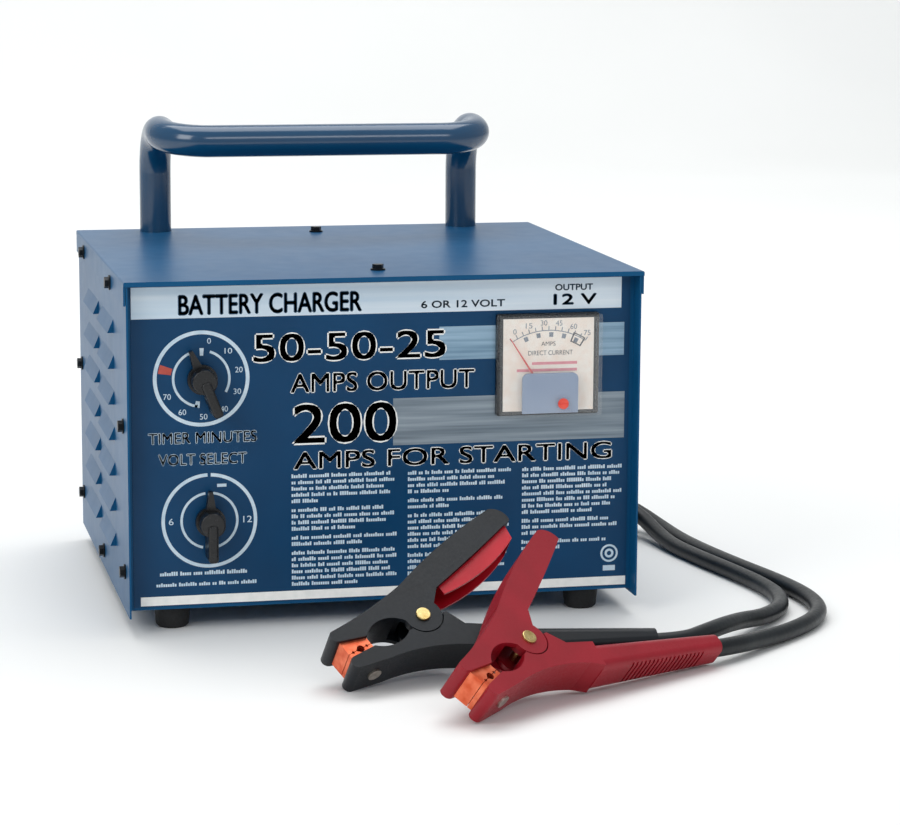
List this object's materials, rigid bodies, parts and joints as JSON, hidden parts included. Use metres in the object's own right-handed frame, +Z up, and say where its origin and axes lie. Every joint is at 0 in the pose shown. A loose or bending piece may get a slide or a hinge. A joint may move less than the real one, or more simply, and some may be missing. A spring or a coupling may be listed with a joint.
{
  "type": "car battery charger",
  "caption": "Portable car battery charger: louvred steel cabinet with a tube handle, timer and voltage knobs, an ammeter and two leads ending in spring clamps.",
  "frame": {"origin": "on the ground under the middle of the cabinet's footprint", "axes": "+X to the right as the front panel is read, +Y to the back, +Z up"},
  "size_m": [0.4613, 0.5576, 0.3102],
  "materials": {
    "blue_steel": "gloss enamel",
    "blue_tube": "gloss enamel",
    "overlay": "printed polycarbonate film",
    "black_screw": "black oxide",
    "black_rubber": "moulded",
    "lead_jacket": "satin",
    "black_plastic": "moulded",
    "plated_steel": "zinc plate",
    "clear_plastic": "clear acrylic",
    "meter_scale": "printed",
    "grey_plastic": "moulded",
    "red_signal": "painted",
    "movement_metal": "as rolled",
    "core_steel": "varnished laminations",
    "copper_wire": "enamelled wire",
    "brass": "turned",
    "jaw_copper": "copper plate",
    "red_grip": "moulded vinyl",
    "black_grip": "moulded vinyl",
    "spring_steel": "oil-tempered wire"
  },
  "bodies": {
    "charger": {"base_tray": "blue_steel", "front_panel": "blue_steel", "panel_overlay": "overlay", "back_panel": "blue_steel", "left_side_panel": "blue_steel", "right_side_panel": "blue_steel", "top_cover": "blue_steel", "handle_tube": "blue_tube", "handle_bolts": "black_screw", "rubber_feet": "black_rubber", "foot_screws": "black_screw", "side_screws": "black_screw", "cover_screws": "black_screw", "red_lead_bushing": "black_rubber", "black_lead_bushing": "black_rubber", "mains_bushing": "black_rubber", "control_nuts": "plated_steel", "timer_body": "plated_steel", "selector_switch": "black_plastic", "meter_lens": "clear_plastic", "meter_base": "black_plastic", "meter_dial": "meter_scale", "meter_movement": "movement_metal", "meter_lower_cover": "grey_plastic", "meter_zero_screw": "red_signal", "transformer_core": "core_steel", "coil_former": "grey_plastic", "primary_winding": "copper_wire", "secondary_winding": "copper_wire", "core_brackets": "blue_steel", "core_bolts": "plated_steel", "rectifier_plate": "movement_metal", "rectifier_diodes": "brass", "circuit_breaker": "black_plastic", "output_board": "black_plastic", "output_studs": "brass", "lead_tails": "lead_jacket", "red_lead": "lead_jacket", "black_lead": "lead_jacket", "red_lower_lever": "red_grip", "red_lower_jaw": "jaw_copper", "red_jaw_rivet": "plated_steel", "red_spring": "spring_steel", "black_lower_lever": "black_grip", "black_lower_jaw": "jaw_copper", "black_jaw_rivet": "plated_steel", "black_spring": "spring_steel"},
    "timer_dial": {"timer_knob": "black_plastic", "timer_shaft": "plated_steel"},
    "selector_dial": {"selector_knob": "black_plastic", "selector_shaft": "plated_steel"},
    "ammeter_pointer": {"meter_needle": "red_signal"},
    "red_clamp_lever": {"red_upper_lever": "red_grip", "red_upper_jaw": "jaw_copper", "red_handle_liner": "red_grip", "red_pivot_pin": "brass"},
    "black_clamp_lever": {"black_upper_lever": "black_grip", "black_upper_jaw": "jaw_copper", "black_handle_liner": "red_grip", "black_pivot_pin": "brass"}
  },
  "joints": [
    {"name": "timer_turn", "type": "hinge", "parent": "charger", "child": "timer_dial", "pos_m": [-0.1177, -0.138, 0.1625], "axis": [0, 1, 0], "range_deg": [-60, 230]},
    {"name": "selector_turn", "type": "hinge", "parent": "charger", "child": "selector_dial", "pos_m": [-0.1133, -0.138, 0.0712], "axis": [0, 1, 0], "range_deg": [-90, 90]},
    {"name": "ammeter_swing", "type": "hinge", "parent": "charger", "child": "ammeter_pointer", "pos_m": [0.1065, -0.138, 0.1434], "axis": [0, 1, 0], "range_deg": [0, 66], "stiffness_Nm_per_rad": 0.00002},
    {"name": "red_clamp_open", "type": "hinge", "parent": "charger", "child": "red_clamp_lever", "pos_m": [0.0378, -0.345, 0.0304], "axis": [-0.3342, 0.5203, -0.7859], "range_deg": [0, 28], "stiffness_Nm_per_rad": 1.2, "springref_deg": -28.65, "deforming": ["red_spring"]},
    {"name": "black_clamp_open", "type": "hinge", "parent": "charger", "child": "black_clamp_lever", "pos_m": [-0.008, -0.2795, 0.0312], "axis": [-0.1028, 0.6432, -0.7587], "range_deg": [0, 28], "stiffness_Nm_per_rad": 1.2, "springref_deg": -28.65, "deforming": ["black_spring"]}
  ]
}
